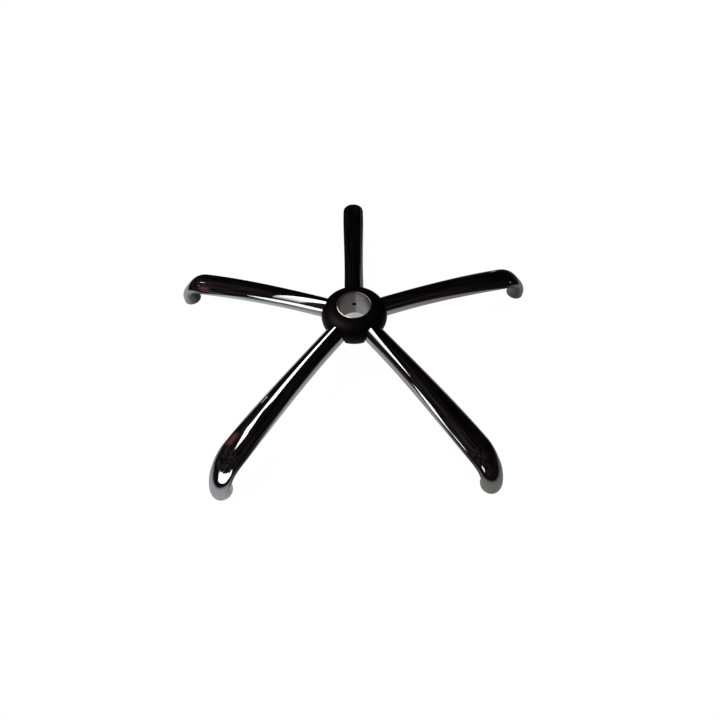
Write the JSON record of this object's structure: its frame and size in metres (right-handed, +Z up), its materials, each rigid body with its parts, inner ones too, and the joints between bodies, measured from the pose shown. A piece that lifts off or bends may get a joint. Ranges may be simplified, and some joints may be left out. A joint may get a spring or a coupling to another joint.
{
  "type": "office chair five star base",
  "caption": "Chromed tubular steel star base of an office chair, with a moulded hub cover, a tapered column socket and caster sockets in its bent toes.",
  "frame": {"origin": "on the column socket's axis, in the plane of the toes' mouths, which is the floor", "axes": "+Z up along the socket's axis, +Y along the rear leg"},
  "size_m": [0.6198, 0.591, 0.0862],
  "materials": {
    "chrome": "bright chrome plate over polished tube",
    "socket_steel": "turned, bare",
    "cover_plastic": "moulded, matte black",
    "plug_plastic": "moulded, black",
    "sleeve_steel": "zinc plated",
    "weld_steel": "welded, plated over"
  },
  "bodies": {
    "root": {"hub_tube": "socket_steel", "hub_cover": "cover_plastic", "leg_1": "chrome", "root_weld_1": "weld_steel", "toe_plug_1": "plug_plastic", "stem_sleeve_1": "sleeve_steel", "leg_2": "chrome", "root_weld_2": "weld_steel", "toe_plug_2": "plug_plastic", "stem_sleeve_2": "sleeve_steel", "leg_3": "chrome", "root_weld_3": "weld_steel", "toe_plug_3": "plug_plastic", "stem_sleeve_3": "sleeve_steel", "leg_4": "chrome", "root_weld_4": "weld_steel", "toe_plug_4": "plug_plastic", "stem_sleeve_4": "sleeve_steel", "leg_5": "chrome", "root_weld_5": "weld_steel", "toe_plug_5": "plug_plastic", "stem_sleeve_5": "sleeve_steel"}
  },
  "joints": []
}
